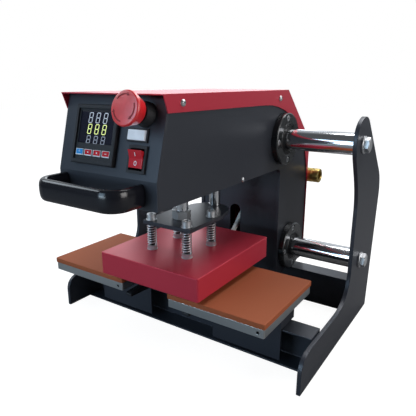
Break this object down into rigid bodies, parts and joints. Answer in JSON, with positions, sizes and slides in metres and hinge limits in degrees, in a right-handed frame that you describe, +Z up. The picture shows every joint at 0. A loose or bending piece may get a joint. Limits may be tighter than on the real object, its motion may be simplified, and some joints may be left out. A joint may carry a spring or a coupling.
{
  "type": "twin-station heat press",
  "caption": "Pneumatic label heat press: a head sliding on two shafts carries a sprung heated platen over two padded lower platens.",
  "frame": {"origin": "bottom centre of the bounding box: the floor under the middle of the machine", "axes": "+Z up, +X to the operator's right along the shafts, +Y away from the operator"},
  "size_m": [0.4716, 0.501, 0.3847],
  "materials": {
    "black_powder_coat": "satin",
    "red_powder_coat": "satin",
    "chromed_shaft": "polished",
    "zinc_plate": "bright zinc",
    "bearing_steel": "ground",
    "cast_aluminium": "sawn and oxidised",
    "silicone_foam": "matte",
    "gloss_black_plastic": "gloss",
    "matte_black_plastic": "fine texture",
    "red_plastic": "gloss",
    "white_plastic": "gloss",
    "blue_plastic": "gloss",
    "display_window": "gloss",
    "brass": "turned",
    "cable_sleeve": "woven sleeve"
  },
  "bodies": {
    "frame": {"left_side_plate": "black_powder_coat", "right_side_plate": "black_powder_coat", "front_rail": "black_powder_coat", "rear_rail": "black_powder_coat", "upper_shaft": "chromed_shaft", "lower_shaft": "chromed_shaft", "upper_shaft_bolt_left": "zinc_plate", "upper_shaft_bolt_right": "zinc_plate", "lower_shaft_bolt_left": "zinc_plate", "lower_shaft_bolt_right": "zinc_plate", "left_bracket": "black_powder_coat", "right_bracket": "black_powder_coat", "left_lower_platen": "cast_aluminium", "right_lower_platen": "cast_aluminium", "left_silicone_pad": "silicone_foam", "right_silicone_pad": "silicone_foam"},
    "head": {"head_left_plate": "black_powder_coat", "head_right_plate": "black_powder_coat", "head_cover": "red_powder_coat", "column_front_plate": "black_powder_coat", "cylinder_mount_plate": "black_powder_coat", "upper_bearing_left": "bearing_steel", "upper_bearing_right": "bearing_steel", "lower_bearing_left": "bearing_steel", "lower_bearing_right": "bearing_steel", "air_cylinder": "cast_aluminium", "guide_bush": "bearing_steel", "air_inlet": "brass", "control_panel": "black_powder_coat", "controller_case": "matte_black_plastic", "controller_window": "display_window", "stop_collar": "matte_black_plastic", "lamp_rim": "matte_black_plastic", "rocker_rim": "matte_black_plastic", "handle": "gloss_black_plastic", "heater_cable": "cable_sleeve"},
    "platen": {"heated_platen": "red_powder_coat", "platen_bolt_front_left": "zinc_plate", "platen_bolt_front_right": "zinc_plate", "platen_bolt_rear_left": "zinc_plate", "platen_bolt_rear_right": "zinc_plate", "platen_spring_front_left": "zinc_plate", "platen_spring_front_right": "zinc_plate", "platen_spring_rear_left": "zinc_plate", "platen_spring_rear_right": "zinc_plate"},
    "spreader": {"spreader_plate": "black_powder_coat", "cylinder_rod": "chromed_shaft", "rod_nut": "zinc_plate", "guide_rod": "chromed_shaft"},
    "stop_stem": {"stop_stem": "matte_black_plastic"},
    "stop_button": {"stop_button": "red_plastic"},
    "power_rocker": {"power_rocker": "red_plastic"},
    "lamp_button": {"lamp_button": "white_plastic"},
    "key_1": {"controller_key_1": "blue_plastic"},
    "key_2": {"controller_key_2": "red_plastic"},
    "key_3": {"controller_key_3": "red_plastic"},
    "key_4": {"controller_key_4": "red_plastic"},
    "left_lever": {"left_lock_lever": "matte_black_plastic"},
    "right_lever": {"right_lock_lever": "matte_black_plastic"}
  },
  "joints": [
    {"name": "head_slide", "type": "slide", "parent": "frame", "child": "head", "axis": [1, 0, 0], "range_m": [-0.1365, 0.0975]},
    {"name": "press_stroke", "type": "slide", "parent": "head", "child": "platen", "axis": [0, 0, -1], "range_m": [0, 0.0092], "deforming": ["heater_cable"]},
    {"name": "spring_travel", "type": "slide", "parent": "platen", "child": "spreader", "axis": [0, 0, -1], "range_m": [0, 0.006], "stiffness_N_per_m": 40000, "springref_m": -0.002, "deforming": ["platen_spring_front_left", "platen_spring_front_right", "platen_spring_rear_left", "platen_spring_rear_right"]},
    {"name": "stop_press", "type": "slide", "parent": "head", "child": "stop_stem", "axis": [0, 0.9648, -0.2628], "range_m": [0, 0.004], "stiffness_N_per_m": 2000},
    {"name": "stop_twist", "type": "hinge", "parent": "stop_stem", "child": "stop_button", "pos_m": [0.0705, -0.21182, 0.36513], "axis": [0, -0.9648, 0.2628], "range_deg": [-30, 0], "stiffness_Nm_per_rad": 0.05},
    {"name": "rocker_tilt", "type": "hinge", "parent": "head", "child": "power_rocker", "pos_m": [0.067, -0.19672, 0.31023], "axis": [1, 0, 0], "range_deg": [-20, 0]},
    {"name": "lamp_press", "type": "slide", "parent": "head", "child": "lamp_button", "axis": [0, 0.9648, -0.2628], "range_m": [0, 0.002], "stiffness_N_per_m": 600},
    {"name": "key_1_press", "type": "slide", "parent": "head", "child": "key_1", "axis": [0, 0.9648, -0.2628], "range_m": [0, 0.0008], "stiffness_N_per_m": 800},
    {"name": "key_2_press", "type": "slide", "parent": "head", "child": "key_2", "axis": [0, 0.9648, -0.2628], "range_m": [0, 0.0008], "stiffness_N_per_m": 800},
    {"name": "key_3_press", "type": "slide", "parent": "head", "child": "key_3", "axis": [0, 0.9648, -0.2628], "range_m": [0, 0.0008], "stiffness_N_per_m": 800},
    {"name": "key_4_press", "type": "slide", "parent": "head", "child": "key_4", "axis": [0, 0.9648, -0.2628], "range_m": [0, 0.0008], "stiffness_N_per_m": 800},
    {"name": "left_lever_turn", "type": "hinge", "parent": "frame", "child": "left_lever", "pos_m": [-0.056, -0.0285, 0.074], "axis": [1, 0, 0], "range_deg": [0, 40]},
    {"name": "right_lever_turn", "type": "hinge", "parent": "frame", "child": "right_lever", "pos_m": [0.056, -0.0285, 0.074], "axis": [1, 0, 0], "range_deg": [0, 40]}
  ]
}
